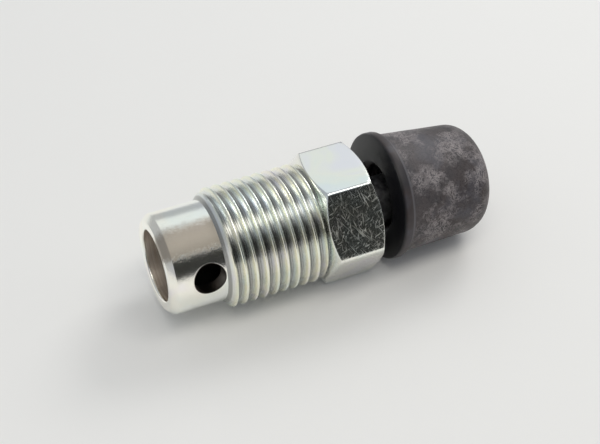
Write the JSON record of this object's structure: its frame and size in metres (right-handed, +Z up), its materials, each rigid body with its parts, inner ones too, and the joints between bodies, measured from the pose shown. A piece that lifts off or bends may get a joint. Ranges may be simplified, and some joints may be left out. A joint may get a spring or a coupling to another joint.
{
  "type": "bleeder screw",
  "caption": "Hollow bleeder screw with a cross-drilled spigot, a threaded shank, a hexagon and a barbed nipple under a push-on rubber dust cap.",
  "frame": {"origin": "centre of the spigot's open end face, on the screw's axis", "axes": "+X along the screw's axis towards the dust cap, +Z up from the surface that the screw lies on"},
  "size_m": [0.0462, 0.0184, 0.0172],
  "materials": {
    "zinc_steel": "clear zinc plate with a faint iridescence, scratched on the hexagon",
    "rubber": "black moulded rubber, dusty with talc"
  },
  "bodies": {
    "screw": {"bleeder_body": "zinc_steel"},
    "cap": {"dust_cap": "rubber"}
  },
  "joints": [
    {"name": "cap_pull", "type": "slide", "parent": "screw", "child": "cap", "axis": [0.9973, 0, -0.0739], "range_m": [0, 0.0135]}
  ]
}
